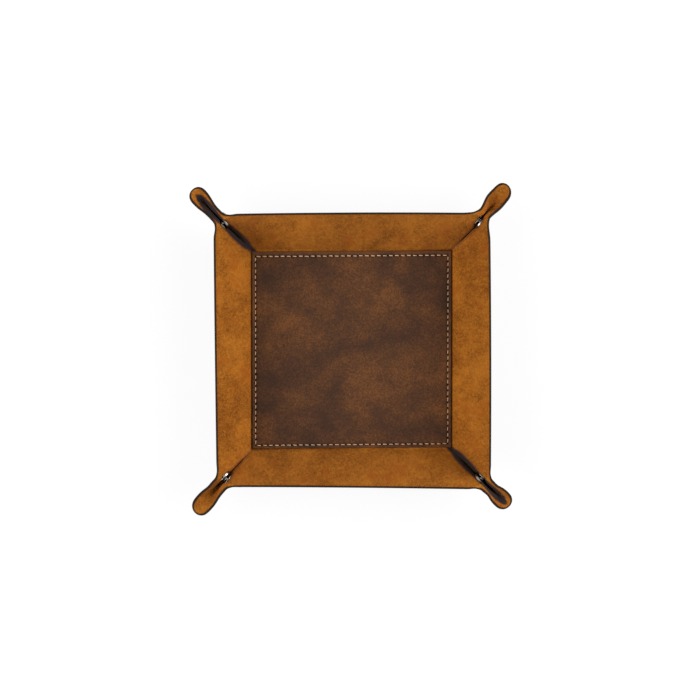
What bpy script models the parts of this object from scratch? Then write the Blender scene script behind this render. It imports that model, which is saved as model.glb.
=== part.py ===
"""Snap-up tray: a square lined sheet whose corners are pinched by four snap fasteners.

Lengths are metres, +Z is up, and the origin is the middle of the underside, on the table.
The sheet is a lining glued to a cover. It is flat over the base, bends up at four creases
into leaning walls, and each corner of the sheet is folded on its diagonal into an ear that
points outwards. A snap fastener holds the two halves of each ear together.

Every corner is worked out as a cone of straight rulings from the base's corner, because a
flat sheet that is folded round one point keeps all its rulings straight.
"""

from math import asin, atan, cos, pi, radians, sin, sqrt, tan

import bmesh
import bpy
from mathutils import Matrix, Vector

MM = 0.001

# Driving sizes of the sheet
base_side = 139.0 * MM          # crease to crease
wall_width = 47.0 * MM          # crease to rim, along the sheet
wall_lean = radians(61.5)       # from the table
corner_round = 8.0 * MM         # the blank's rounded corners
lining_thick = 0.8 * MM
cover_thick = 0.6 * MM
glue_gap = 0.3 * MM             # between lining and cover
crease_gap = 0.3 * MM           # between panels that meet at a crease
ear_start = 3.0 * MM            # the ear's halves begin this far from the base's corner
fold_gap_lining = 0.3 * MM      # cut back from the ear's middle plane, so it can unfold
fold_gap_cover = 1.25 * MM      # the cover turns further out than the lining as it unfolds

# Sewn patch and its thread
patch_margin = 1.3 * MM         # from a crease to the patch's edge
patch_thick = 1.5 * MM
patch_round = 0.4 * MM          # softened top edge
seat_gap = 0.3 * MM             # under anything that rests on the sheet
stitch_inset = 2.6 * MM
stitch_pitch = 4.1 * MM
channel_width = 2.0 * MM
channel_depth = 0.9 * MM
thread_radius = 0.45 * MM
thread_rise = 0.4 * MM          # from a needle hole up to the top of a stitch
stitch_run_share = 0.22         # of a pitch, from the hole to the flat of the stitch

# Snap fastener, measured square to the leather that carries it
snap_reach = 36.5 * MM          # from the base's corner, along the ear
snap_radius = 5.1 * MM
leather_hole = 1.8 * MM
socket_height = 2.0 * MM
socket_edge = 1.1 * MM
socket_floor = 0.4 * MM
socket_bore = 2.5 * MM
socket_face = 3.4 * MM
stud_plate = 0.8 * MM
stud_edge = 0.45 * MM
stud_shoulder = 2.9 * MM
stud_neck = 1.55 * MM
stud_ball = 1.8 * MM
stud_height = 2.05 * MM         # above its plate
stud_bore = 1.15 * MM
face_gap = 0.75 * MM            # between the faces of socket and stud when snapped
cap_height = 1.7 * MM
cap_edge = 0.6 * MM
barrel_radius = 1.2 * MM
barrel_clear = 0.3 * MM
post_flange = 4.2 * MM
post_thick = 0.7 * MM
post_crown = 2.6 * MM
socket_round_share = 0.3        # of the rounded edge, taken off its outer corner
stud_crown_share = 0.6          # of the ball's radius, across its flat top
stud_waist_share = 1.6          # of the ball's rounding, down to its waist
neck_rise_share = 0.4           # of the face gap, the neck's straight foot
flank_overrun_share = 1.25      # of the flank's angle, to be cut at the bend
overrun = 5.0 * MM              # how far a cutter passes through

turn_steps = 20
hook_steps = 6
dome_steps = 4
solver_steps = 60
merge_distance = 0.001 * MM
cut_tolerance = 0.000001 * MM
sharp_angle = radians(35)

# The sheet's whole thickness, half of it, the unfolded reach of the blank, and the patch
sheet_thick = lining_thick + glue_gap + cover_thick
half_thick = sheet_thick / 2
blank_reach = base_side + 2 * wall_width
patch_side = base_side - 2 * patch_margin

UP = Vector((0.0, 0.0, 1.0))
ALONG = Vector((0.0, 1.0, 0.0))
ACROSS = Vector((1.0, -1.0, 0.0)).normalized()   # square to the middle plane of an ear
OUT = Vector((1.0, 1.0, 0.0)).normalized()       # level, away from the tray

SIDES = ("right", "back", "left", "front")


def clear_scene():
    for item in list(bpy.data.objects):
        bpy.data.objects.remove(item, do_unlink=True)


def new_collection(name):
    group = bpy.data.collections.new(name)
    bpy.context.scene.collection.children.link(group)
    return group


def new_material(name, colour, roughness, metallic=0.0):
    material = bpy.data.materials.new(name)
    material.use_nodes = True
    shader = material.node_tree.nodes["Principled BSDF"]
    shader.inputs["Base Color"].default_value = (*colour, 1.0)
    shader.inputs["Roughness"].default_value = roughness
    shader.inputs["Metallic"].default_value = metallic
    return material


clear_scene()
parts = new_collection("snap_up_tray")
cutters = new_collection("tray_cutters")
suede = new_material("tan_suede", (0.35, 0.12, 0.018), 0.95)
back_leather = new_material("dark_back_leather", (0.035, 0.018, 0.012), 0.6)
patch_leather = new_material("mottled_brown_leather", (0.105, 0.045, 0.022), 0.7)
thread_cotton = new_material("cream_thread", (0.42, 0.3, 0.2), 0.8)
nickel = new_material("nickel_plate", (0.75, 0.73, 0.7), 0.22, 1.0)


def link_part(name, mesh, material, parent, place):
    """Make one part from a mesh, under a parent and at a place in the parent's frame."""
    part = bpy.data.objects.new(name, mesh)
    if not mesh.materials:
        mesh.materials.append(material)
    parts.objects.link(part)
    part.parent = parent
    part.matrix_basis = place
    return part


def new_empty(name, parent, place):
    empty = bpy.data.objects.new(name, None)
    empty.empty_display_size = half_thick
    parts.objects.link(empty)
    empty.parent = parent
    empty.matrix_basis = place
    return empty


def keep_side(bm, point, inward):
    """Cut a closed solid by a plane, keep the side that inward points to, and close the cut."""
    bmesh.ops.bisect_plane(bm, geom=bm.verts[:] + bm.edges[:] + bm.faces[:], dist=cut_tolerance,
                           plane_co=point, plane_no=-inward, clear_outer=True)
    rim = [edge for edge in bm.edges if edge.is_boundary]
    if rim:
        bmesh.ops.holes_fill(bm, edges=rim)


def finish_mesh(name, bm, origin):
    bmesh.ops.recalc_face_normals(bm, faces=bm.faces[:])
    bmesh.ops.translate(bm, verts=bm.verts[:], vec=-origin)
    mesh = bpy.data.meshes.new(name)
    bm.to_mesh(mesh)
    bm.free()
    mesh.shade_smooth()
    mesh.set_sharp_from_angle(angle=sharp_angle)
    return mesh


# The corner's geometry, for the corner where the right and the back wall meet.
# The middle of the sheet is followed, and each layer is set off from it.

apex = Vector((base_side / 2, base_side / 2, half_thick))
wall_up = Vector((cos(wall_lean), 0.0, sin(wall_lean)))
wall_normal = Vector((-sin(wall_lean), 0.0, cos(wall_lean)))   # out of the wall's lining
snap_stack = seat_gap + socket_height + face_gap + stud_plate + seat_gap
half_open = (sheet_thick + snap_stack) / 2
hook_angle = asin(half_open / snap_reach)


def ear_directions(rise):
    """The ear's axis at the given rise, the way up from it, and the start of its flat flank."""
    axis = OUT * cos(rise) + UP * sin(rise)
    upward = OUT * -sin(rise) + UP * cos(rise)
    start = axis * cos(hook_angle) + ACROSS * sin(hook_angle)
    return axis, upward, start


def bend_ray(rise):
    """The ray where the wall bends out into the ear: both flat panels hold it."""
    _, upward, start = ear_directions(rise)
    flank_normal = upward.cross(start)
    ray = wall_normal.cross(flank_normal).normalized()
    return ray if ray.z > 0 else -ray


def sheet_used(rise):
    """Angle of sheet from the ear's bottom fold, up its flank and along the wall to the crease."""
    _, _, start = ear_directions(rise)
    ray = bend_ray(rise)
    return pi / 2 * sin(hook_angle) + start.angle(ray) + ray.angle(-ALONG)


def solve_rise():
    """The rise at which the ear takes up exactly the 135 degrees of sheet that are there."""
    low, high = radians(5), radians(80)
    for _ in range(solver_steps):
        middle = (low + high) / 2
        if sheet_used(middle) > radians(135):
            low = middle
        else:
            high = middle
    return low


ear_rise = solve_rise()
ear_axis, ear_up, flank_start = ear_directions(ear_rise)
flank_normal = ear_up.cross(flank_start)                       # out of the ear's lining
bend = bend_ray(ear_rise)
flank_angle = flank_start.angle(bend)

# Hinge lines: a base crease turns on the cover's face, a bend on the lining's face
wall_hinge = Vector((base_side / 2 + half_thick * tan(wall_lean / 2), 0.0, 0.0))
fold_angle = flank_normal.angle(wall_normal)
bend_offset = (flank_normal + wall_normal).normalized() * (half_thick / cos(fold_angle / 2))
ear_hinge = apex + bend_offset + bend * snap_reach
bend_mitre = (flank_normal - wall_normal).normalized()
if bend_mitre.dot(flank_start - bend) < 0:
    bend_mitre = -bend_mitre
crease_mitre = (UP - wall_normal).normalized()                 # points to the wall's side


def outline_reach(angle):
    """Distance from the base's corner to the blank's edge, by angle from the diagonal."""
    centre = (wall_width - corner_round) * sqrt(2)
    if angle < pi / 4 - atan((wall_width - corner_round) / wall_width):
        return centre * cos(angle) + sqrt(corner_round ** 2 - (centre * sin(angle)) ** 2)
    return wall_width / cos(pi / 4 - angle)


def ear_rulings():
    """Rulings of an ear's half, from its bottom fold to past the bend: ray, normal, reach."""
    rulings = []
    for step in range(hook_steps + 1):
        turn = pi / 2 * step / hook_steps
        side = ear_up * -cos(turn) + ACROSS * sin(turn)
        ray = ear_axis * cos(hook_angle) + side * sin(hook_angle)
        tangent = ear_up * sin(turn) + ACROSS * cos(turn)
        rulings.append((ray, tangent.cross(ray), outline_reach(turn * sin(hook_angle))))
    hook_used = pi / 2 * sin(hook_angle)
    for angle in (flank_angle / 2, flank_angle, flank_angle * flank_overrun_share):
        ray = flank_start * cos(angle) + ear_up * sin(angle)
        rulings.append((ray, flank_normal, outline_reach(hook_used + angle)))
    return rulings


def mirror_across(vector):
    return Vector((vector.x, -vector.y, vector.z))


def wall_ends():
    """The two ends of the right wall: towards the back as worked out, the front mirrored."""
    return (("far", lambda vector: vector.copy()), ("near", mirror_across))


def base_panel(name, low, high, material):
    """A square layer of the base, with its four edges mitred to the creases."""
    bm = bmesh.new()
    bmesh.ops.create_cube(bm, size=blank_reach)
    keep_side(bm, UP * low, UP)
    keep_side(bm, UP * high, -UP)
    for quarter in range(4):
        turn = Matrix.Rotation(quarter * pi / 2, 3, "Z")
        inward = turn @ -crease_mitre
        keep_side(bm, turn @ wall_hinge + inward * (crease_gap / 2), inward)
    return link_part(name, finish_mesh(name, bm, Vector()), material, None, Matrix())


def wall_mesh(name, low, high):
    """A layer of the right wall: a slab mitred at its crease and at its two bends."""
    bm = bmesh.new()
    bmesh.ops.create_cube(bm, size=blank_reach * 2)
    middle = Vector((apex.x, 0.0, apex.z))
    keep_side(bm, middle + wall_normal * low, wall_normal)
    keep_side(bm, middle + wall_normal * high, -wall_normal)
    keep_side(bm, middle + wall_up * wall_width, -wall_up)
    keep_side(bm, wall_hinge + crease_mitre * (crease_gap / 2), crease_mitre)
    for _, reflect in wall_ends():
        inward = reflect(-bend_mitre)
        keep_side(bm, reflect(ear_hinge) + inward * (crease_gap / 2), inward)
        across = reflect(ACROSS)
        keep_side(bm, reflect(apex) + across * (crease_gap / 2), across)
    return finish_mesh(name, bm, wall_hinge)


def ear_mesh(name, low, high, fold_gap, reflect):
    """A layer of an ear's half: straight rulings from the corner, offset square to the sheet."""
    bm = bmesh.new()
    rows = []
    for ray, normal, reach in ear_rulings():
        ring = [apex + ray * start + normal * level
                for start, level in ((ear_start, low), (reach, low), (reach, high), (ear_start, high))]
        rows.append([bm.verts.new(point) for point in ring])
    for before, after in zip(rows, rows[1:]):
        for corner in range(4):
            following = (corner + 1) % 4
            bm.faces.new((before[corner], before[following], after[following], after[corner]))
    bm.faces.new(rows[0])
    bm.faces.new(rows[-1])
    keep_side(bm, ear_hinge + bend_mitre * (crease_gap / 2), bend_mitre)
    keep_side(bm, apex + ACROSS * fold_gap, ACROSS)
    for vert in bm.verts:
        vert.co = reflect(vert.co)
    return finish_mesh(name, bm, reflect(ear_hinge))


def snap_frame(reflect):
    """Frame of a snap on an ear: its middle in the sheet, with Z out of the lining."""
    angle = flank_angle / 2
    ray = reflect(flank_start * cos(angle) + ear_up * sin(angle))
    normal = reflect(flank_normal)
    side = normal.cross(ray)
    turn = Matrix((ray, side, normal)).transposed().to_4x4()
    return Matrix.Translation(reflect(apex) + ray * snap_reach - reflect(ear_hinge)) @ turn


def turned_mesh(name, profile):
    """A closed outline of radius and height, run down its outer side, to be turned round Z."""
    mesh = bpy.data.meshes.new(name)
    points = [(radius, 0.0, height) for radius, height in profile]
    edges = [(index, index + 1) for index in range(len(points) - 1)]
    if profile[0][0] > 0:
        edges.append((len(points) - 1, 0))
    mesh.from_pydata(points, edges, [])
    return mesh


def add_turning(part):
    turning = part.modifiers.new("turning", "SCREW")
    turning.steps = turn_steps
    turning.render_steps = turn_steps
    turning.use_merge_vertices = True
    turning.merge_threshold = merge_distance
    turning.use_smooth_shade = True


def drill_leather(part, frame, parent):
    """The hole that the barrel of a snap passes through."""
    mesh = bpy.data.meshes.new(part.name + "_drill")
    bm = bmesh.new()
    bmesh.ops.create_cone(bm, cap_ends=True, segments=turn_steps, radius1=leather_hole,
                          radius2=leather_hole, depth=sheet_thick + 2 * overrun)
    bm.to_mesh(mesh)
    bm.free()
    drill = bpy.data.objects.new(part.name + "_drill", mesh)
    cutters.objects.link(drill)
    drill.parent = parent
    drill.matrix_basis = frame
    drill.hide_render = True
    drill.display_type = "WIRE"
    cut = part.modifiers.new("snap_hole", "BOOLEAN")
    cut.operation = "DIFFERENCE"
    cut.object = drill


def socket_profile():
    """Ring that grips the stud: a floor round the barrel, a bore, and a rounded outer edge."""
    foot = half_thick + seat_gap
    rounded = snap_radius - socket_face
    return [(socket_bore, foot + socket_height),
            (socket_face, foot + socket_height),
            (snap_radius - rounded * socket_round_share, foot + (socket_height + socket_edge) / 2),
            (snap_radius, foot + socket_edge),
            (snap_radius, foot),
            (barrel_radius + barrel_clear, foot),
            (barrel_radius + barrel_clear, foot + socket_floor),
            (socket_bore, foot + socket_floor)]


def stud_profile():
    """Plate with a hollow knob: a neck and a ball that snaps into the socket."""
    foot = half_thick + seat_gap
    top = foot + stud_plate + stud_height
    crown = stud_ball * stud_crown_share
    rounding = stud_ball - crown
    return [(0.0, top),
            (crown, top),
            (stud_ball, top - rounding),
            (stud_ball, top - rounding * stud_waist_share),
            (stud_neck, foot + stud_plate + face_gap * neck_rise_share),
            (stud_neck, foot + stud_plate),
            (stud_shoulder, foot + stud_plate),
            (snap_radius, foot + stud_edge),
            (snap_radius, foot),
            (stud_bore, foot),
            (stud_bore, foot + stud_plate + stud_height / 2),
            (0.0, foot + stud_plate + stud_height / 2)]


def cap_profile():
    """Domed cap on the cover, with the barrel that holds the socket through the leather."""
    top = half_thick + seat_gap + socket_floor
    under = -half_thick - seat_gap
    rim = under - cap_edge
    dome = [(snap_radius * cos(pi / 2 * step / dome_steps),
             rim - (cap_height - cap_edge) * sin(pi / 2 * step / dome_steps))
            for step in range(dome_steps)]
    return [(0.0, top), (barrel_radius, top), (barrel_radius, under), (snap_radius, under),
            *dome, (0.0, under - cap_height)]


def post_profile():
    """Flanged post on the cover, whose barrel reaches into the hollow of the stud."""
    top = half_thick + seat_gap + stud_plate
    under = -half_thick - seat_gap
    barrel = stud_bore - barrel_clear
    return [(0.0, top), (barrel, top), (barrel, under), (post_flange, under),
            (post_flange, under - post_thick / 2), (post_crown, under - post_thick),
            (0.0, under - post_thick)]


def make_quarter(quarter, meshes):
    """One wall with the ear halves at its two ends, turned to its side of the tray."""
    side = SIDES[quarter]
    beyond = SIDES[(quarter + 1) % 4]
    before = SIDES[(quarter - 1) % 4]
    turn = new_empty(side + "_quarter", None, Matrix.Rotation(quarter * pi / 2, 4, "Z"))
    hinge = new_empty(side + "_wall_hinge", turn, Matrix.Translation(wall_hinge))
    link_part(side + "_wall_lining", meshes["wall_lining"], suede, hinge, Matrix())
    link_part(side + "_wall_cover", meshes["wall_cover"], back_leather, hinge, Matrix())
    for (end, reflect), corner in zip(wall_ends(), (beyond, before)):
        place = Matrix.Translation(reflect(ear_hinge) - wall_hinge)
        ear = side + "_ear_at_" + corner
        ear_empty = new_empty(ear + "_hinge", hinge, place)
        frame = snap_frame(reflect)
        for layer, material in (("lining", suede), ("cover", back_leather)):
            part = link_part(ear + "_" + layer, meshes["ear_" + layer + "_" + end], material,
                             ear_empty, Matrix())
            drill_leather(part, frame, ear_empty)
        inner, outer = (("socket", "cap") if end == "far" else ("stud", "post"))
        for piece in (inner, outer):
            corner_name = side + "_" + beyond if end == "far" else before + "_" + side
            fastener = link_part("snap_" + piece + "_" + corner_name, meshes[piece], nickel,
                                 ear_empty, frame)
            add_turning(fastener)


def make_walls():
    glue_low = half_thick - lining_thick
    glue_high = cover_thick - half_thick
    meshes = {"wall_lining": wall_mesh("wall_lining", glue_low, half_thick),
              "wall_cover": wall_mesh("wall_cover", -half_thick, glue_high),
              "socket": turned_mesh("socket", socket_profile()),
              "stud": turned_mesh("stud", stud_profile()),
              "cap": turned_mesh("cap", cap_profile()),
              "post": turned_mesh("post", post_profile())}
    for end, reflect in wall_ends():
        meshes["ear_lining_" + end] = ear_mesh("ear_lining_" + end, glue_low, half_thick,
                                               fold_gap_lining, reflect)
        meshes["ear_cover_" + end] = ear_mesh("ear_cover_" + end, -half_thick, glue_high,
                                              fold_gap_cover, reflect)
    for quarter in range(4):
        make_quarter(quarter, meshes)


def make_base():
    base_panel("base_lining", sheet_thick - lining_thick, sheet_thick, suede)
    base_panel("base_cover", 0.0, cover_thick, back_leather)


def make_patch():
    """The sewn patch: a square plate with a pressed channel for the thread."""
    foot = sheet_thick + seat_gap
    bm = bmesh.new()
    bmesh.ops.create_cube(bm, size=1.0)
    bmesh.ops.scale(bm, vec=(patch_side, patch_side, patch_thick), verts=bm.verts[:])
    bmesh.ops.translate(bm, vec=UP * (foot + patch_thick / 2), verts=bm.verts[:])
    mesh = finish_mesh("base_patch", bm, Vector())
    patch = link_part("base_patch", mesh, patch_leather, None, Matrix())
    soften = patch.modifiers.new("soft_edge", "BEVEL")
    soften.width = patch_round
    soften.segments = 2
    soften.limit_method = "ANGLE"
    channel = make_channel(foot + patch_thick)
    press = patch.modifiers.new("thread_channel", "BOOLEAN")
    press.operation = "DIFFERENCE"
    press.object = channel


def make_channel(top):
    """Square ring that presses the channel, a flat square outline with bevelled depth."""
    line = patch_side / 2 - stitch_inset
    bm = bmesh.new()
    corners = []
    for level in (top - channel_depth, top + overrun):
        for half in (line + channel_width / 2, line - channel_width / 2):
            square = ((half, half), (-half, half), (-half, -half), (half, -half))
            corners.append([bm.verts.new((x, y, level)) for x, y in square])
    low_outer, low_inner, high_outer, high_inner = corners
    for index in range(4):
        after = (index + 1) % 4
        for first, second in ((low_outer, high_outer), (high_outer, high_inner),
                              (high_inner, low_inner), (low_inner, low_outer)):
            bm.faces.new((first[index], first[after], second[after], second[index]))
    channel = bpy.data.objects.new("channel_press", finish_mesh("channel_press", bm, Vector()))
    cutters.objects.link(channel)
    channel.hide_render = True
    channel.display_type = "WIRE"
    return channel


def thread_points():
    """The thread's round, stitch by stitch: down at each needle hole, flat between them."""
    side = patch_side - 2 * stitch_inset
    count = round(side / stitch_pitch)
    low = sheet_thick + seat_gap + patch_thick - channel_depth + seat_gap + thread_radius
    points = []
    for quarter in range(4):
        turn = Matrix.Rotation(quarter * pi / 2, 3, "Z")
        for stitch in range(count):
            for share, rise in ((0.0, 0.0), (stitch_run_share, thread_rise),
                                (1 - stitch_run_share, thread_rise)):
                along = side * ((stitch + share) / count) - side / 2
                points.append(turn @ Vector((side / 2, along, low + rise)))
    return points


def make_thread():
    curve = bpy.data.curves.new("patch_thread", "CURVE")
    curve.dimensions = "3D"
    curve.bevel_depth = thread_radius
    curve.bevel_resolution = 0
    points = thread_points()
    spline = curve.splines.new("POLY")
    spline.points.add(len(points) - 1)
    for place, point in zip(spline.points, points):
        place.co = (*point, 1.0)
    spline.use_cyclic_u = True
    curve.materials.append(thread_cotton)
    thread = bpy.data.objects.new("patch_thread", curve)
    parts.objects.link(thread)


make_base()
make_walls()
make_patch()
make_thread()
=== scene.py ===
# %% [markdown]
# A snap-up tray is one square of soft suede, glued to a dark backing leather, with a sewn
# patch in its middle. Four snap fasteners pinch its corners into ears, and that alone makes
# the walls stand up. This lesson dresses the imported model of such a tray. Every sheet here
# is a surface worked out with numpy, because a folded sheet follows a rule: all its straight
# lines still meet at the corner it is folded round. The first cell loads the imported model,
# which says where every piece sits and how it moves.

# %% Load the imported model
from math import asin, atan, cos, pi, radians, sin, sqrt, tan

import bmesh
import bpy
import numpy as np
from mathutils import Matrix, Vector


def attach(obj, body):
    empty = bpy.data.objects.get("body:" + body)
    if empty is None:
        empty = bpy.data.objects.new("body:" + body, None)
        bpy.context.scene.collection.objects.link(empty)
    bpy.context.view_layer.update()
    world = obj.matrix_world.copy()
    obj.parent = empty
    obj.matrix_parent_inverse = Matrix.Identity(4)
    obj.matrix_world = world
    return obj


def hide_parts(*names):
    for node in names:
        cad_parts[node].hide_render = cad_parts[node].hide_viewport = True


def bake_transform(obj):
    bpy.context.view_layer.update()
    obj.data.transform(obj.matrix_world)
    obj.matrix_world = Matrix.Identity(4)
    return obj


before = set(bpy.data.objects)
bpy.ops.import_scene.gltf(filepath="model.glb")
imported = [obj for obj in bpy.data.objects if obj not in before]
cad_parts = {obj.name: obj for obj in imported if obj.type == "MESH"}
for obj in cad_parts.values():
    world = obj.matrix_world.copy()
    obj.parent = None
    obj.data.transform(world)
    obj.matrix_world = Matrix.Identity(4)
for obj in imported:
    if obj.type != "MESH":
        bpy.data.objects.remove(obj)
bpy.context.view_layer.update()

# %% [markdown]
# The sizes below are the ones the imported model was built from, in metres. Everything else in
# this lesson is worked out from them, so the looks and the construction stay one object.

# %% Sizes of the sheet
MM = 0.001
base_side = 139.0 * MM          # crease to crease
wall_width = 47.0 * MM          # crease to rim, along the sheet
wall_lean = radians(61.5)       # from the table
corner_round = 8.0 * MM
sheet_thick = 1.7 * MM
half_thick = sheet_thick / 2
glue_level = 0.05 * MM          # the lining is a little thinner than the backing
snap_reach = 36.5 * MM          # from the base's corner, along the ear
snap_stack = 4.15 * MM          # from leather to leather, through a closed snap
half_open = (sheet_thick + snap_stack) / 2
hook_angle = asin(half_open / snap_reach)

SIDES = ("right", "back", "left", "front")
UP = np.array((0.0, 0.0, 1.0))
ALONG = np.array((0.0, 1.0, 0.0))
ACROSS = np.array((1.0, -1.0, 0.0)) / sqrt(2)    # square to the middle plane of an ear
OUT = np.array((1.0, 1.0, 0.0)) / sqrt(2)        # level, away from the tray
apex = np.array((base_side / 2, base_side / 2, half_thick))
wall_up = np.array((cos(wall_lean), 0.0, sin(wall_lean)))
print("hook angle", round(np.degrees(hook_angle), 2), "degrees")

# %% [markdown]
# A corner folds like a paper cone. Going round it along the sheet, the angle from the crease
# is 135 degrees to the diagonal: first up the flat wall, then round the bend into the ear's
# flat flank, then round a small hook to the bottom of the fold. The height of the fold is
# whatever uses up exactly those 135 degrees, and halving an interval finds it.

# %% Find how the corner folds


def unit(vectors):
    """Vectors divided by their own lengths."""
    return vectors / np.linalg.norm(vectors, axis=-1, keepdims=True)


def times(amounts, way):
    """Each of many amounts, times one direction."""
    return np.multiply.outer(amounts, way)


def angle_between(first, second):
    """The arc cosine of the product of two unit vectors."""
    return np.arccos(np.clip(first @ second, -1.0, 1.0))


def ear_directions(rise):
    """The ear's axis at that rise, the way up from it, and the start of its flat flank."""
    axis = OUT * cos(rise) + UP * sin(rise)
    start = axis * cos(hook_angle) + ACROSS * sin(hook_angle)
    return axis, OUT * -sin(rise) + UP * cos(rise), start


def bend_at(rise):
    """The line shared by the wall's plane and the flank's plane, upwards."""
    _, upward, start = ear_directions(rise)
    line = unit(np.cross(np.cross(wall_up, ALONG), np.cross(upward, start)))
    return line if line[2] > 0 else -line


def sheet_used(rise):
    """Sheet round the corner: a quarter turn of the hook, the flank, and the wall."""
    start = ear_directions(rise)[2]
    bend = bend_at(rise)
    return pi / 2 * sin(hook_angle) + angle_between(start, bend) + angle_between(bend, -ALONG)


low, high = radians(5), radians(80)     # the rise lies between these
for _ in range(60):
    middle = (low + high) / 2
    low, high = (middle, high) if sheet_used(middle) > radians(135) else (low, middle)
ear_rise = low
ear_axis, ear_up, flank_start = ear_directions(ear_rise)
bend = bend_at(ear_rise)
bend_angle = angle_between(bend, -ALONG)
flank_angle = angle_between(bend, flank_start)
print("ear rises", round(np.degrees(ear_rise), 2), "degrees, bend at",
      round(np.degrees(bend_angle), 2), "degrees of sheet")

# %% [markdown]
# Real leather doesn't fold to a knife edge. A smooth ramp, flat at first and straight after,
# turns a sharp corner between two straight lines into a soft one. It is used at the creases
# and at the bends into the ears.

# %% Rays of the folded corner
bend_soft = radians(3.5)        # half the soft part of a bend, seen from the corner
seam_angle = radians(4.0)       # a bend's own piece reaches this far each way
flank_extra = radians(1.5)      # sheet let out below the flank, so that the ear lies flat open


def ramp(values, soft):
    """Zero below -soft, the value itself above soft, and a smooth run-up between them."""
    share = np.clip((values + soft) / (2 * soft), 0.0, 1.0)
    return np.where(values > soft, values, 2 * soft * (share**3 - share**4 / 2))


def ease(values):
    """A smooth step from 0 to 1: three squares less two cubes."""
    share = np.clip(values, 0.0, 1.0)
    return share * share * (3 - 2 * share)


def between(values, start, end):
    """A smooth step from 0 at start to 1 at end, which may be the lower of the two."""
    return ease((values - start) / (end - start))


def flank_ray(angle):
    """A direction in the flank's plane, by angle along the sheet from the crease."""
    return bend * cos(angle - bend_angle) + down_flank * sin(angle - bend_angle)


up_wall = ALONG * sin(bend_angle) + wall_up * cos(bend_angle)   # along the sheet, at the bend
down_flank = unit(flank_start - bend * (flank_start @ bend))
flank_inward = np.cross(bend, down_flank)                       # out of the ear's lining
hook_from = bend_angle + flank_angle + flank_extra
hook_ray = flank_ray(hook_from)
hook_width = atan(-(hook_ray @ ACROSS) / (flank_inward @ ACROSS))
hook_axis = hook_ray * cos(hook_width) + flank_inward * sin(hook_width)
hook_side = unit(hook_ray - hook_axis * cos(hook_width))
hook_down = np.cross(hook_axis, hook_side)
hook_down = hook_down if hook_down[2] < 0 else -hook_down
hook_turn = np.arctan2(hook_side @ ACROSS, -(hook_down @ ACROSS))
fold_angle = hook_from + hook_turn * sin(hook_width)


def sheet_rays(angles):
    """Directions from the corner, by angle along the sheet from the crease.

    Up to the bend the ray turns in the wall's plane, past it in the flank's plane, with a
    soft ramp between, and at the end it goes round a narrow cone to the middle plane.
    """
    past = np.sin(angles - bend_angle)
    folded = ramp(past, bend_soft)
    flat = unit(times(np.cos(angles - bend_angle), bend) + times(past - folded, up_wall)
                + times(folded, down_flank))
    turn = np.maximum((angles - hook_from) / sin(hook_width), -0.01)
    round_axis = times(np.cos(turn), hook_side) + times(np.sin(turn), hook_down)
    cone = hook_axis * cos(hook_width) + round_axis * sin(hook_width)
    return np.where((angles > hook_from)[..., None], cone, flat)


def sheet_normals(angles):
    """Out of the lining: square to a ray and to the way the rays are turning."""
    step = 1e-5
    return unit(np.cross(sheet_rays(angles), sheet_rays(angles + step) - sheet_rays(angles - step)))


def blank_reach(angles):
    """Distance from the corner to the blank's edge, and the angle left to the diagonal.

    Along a side it is the wall's width over the cosine of the angle to the side's normal, and
    at the rounded corner it is the far crossing of the ray with the rounding circle.
    """
    let_out = (fold_angle - radians(135)) * between(angles, bend_angle, bend_angle + flank_angle)
    to_diagonal = radians(135) - angles + let_out
    centre = (wall_width - corner_round) * sqrt(2)
    rounded = (centre * np.cos(to_diagonal)
               + np.sqrt(np.clip(corner_round**2 - (centre * np.sin(to_diagonal))**2, 0, None)))
    straight = wall_width / np.cos(pi / 4 - to_diagonal)
    turning = to_diagonal < pi / 4 - atan((wall_width - corner_round) / wall_width)
    return np.where(turning, rounded, straight), to_diagonal


print("the fold takes", round(np.degrees(fold_angle), 2), "degrees of sheet, the hook turns",
      round(np.degrees(hook_turn), 1))

# %% [markdown]
# No two corners of a soft tray are alike. Two ears of this one open like spoons past the snap,
# and two stay pinched with a deep trough below. Each corner's habit is a set of small pushes
# on every point near it, smooth in space, so that pieces that meet still meet, and how much
# shade is painted into the bottom of its fold.

# %% Habits of the four corners
# All lengths in mm. pinch: the lips closer together at one place along the ear; flare: how fast
# they part beyond the snap, for each mm; shut: the same for the fold's bottom, closer together;
# spoon: how far that bottom rises; swing: how fast the ear turns aside; gape: how far the trough
# opens near the base; drawn: how much shorter the ear is; collar and lean: how far the neck's
# top leans out and aside; the last three: the painted shade in the fold, how dark, how far
# along and how wide
habit_names = ("pinch", "pinch_at", "pinch_wide", "flare", "flare_from", "shut", "spoon", "swing",
               "gape", "drawn", "collar", "lean", "grime", "fold_shade_end", "fold_shade_wide")
habit_table = {
    "right_back": (0.95, 44.0, 9.0, 0.158, 42.9, 2.8, 0.9, -0.157,
                   -0.35, 1.4, 1.8, 0.1, 0.35, 44, 0.55),
    "back_left": (0.6, 52.2, 3.6, 0.273, 52.4, 4.4, 0.3, 0.013,
                  1.9, 0.5, -0.4, 0.1, 0.95, 62.2, 1.0),
    "left_front": (1.3, 53.0, 3.6, 0.2, 43.3, 2.8, 0.9, -0.06,
                   -0.35, 1.25, 0.55, 0.4, 0.35, 44, 0.55),
    "front_right": (1.4, 52.6, 3.5, 0.16, 43.2, 4.4, 0.3, -0.011,
                    1.9, 4.5, 1.15, 0.15, 0.95, 60.2, 1.0),
}
habits = {corner: dict(zip(habit_names, row)) for corner, row in habit_table.items()}
snap_end = 41.5                 # mm along the ear, just past the snap
neck_along = 47.5               # to the rim's lowest point at the ear's neck
ear_end = 65                    # just past the tip
neck_height = 15.0
lip_fall = 1.36                 # how fast the lips come down from there to the tip


def corner_name(quarter, mirrored=False):
    """The corner at a wall's far end, or mirrored at its near end."""
    first = (quarter - 1) % 4 if mirrored else quarter
    return SIDES[first] + "_" + SIDES[(first + 1) % 4]


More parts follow.
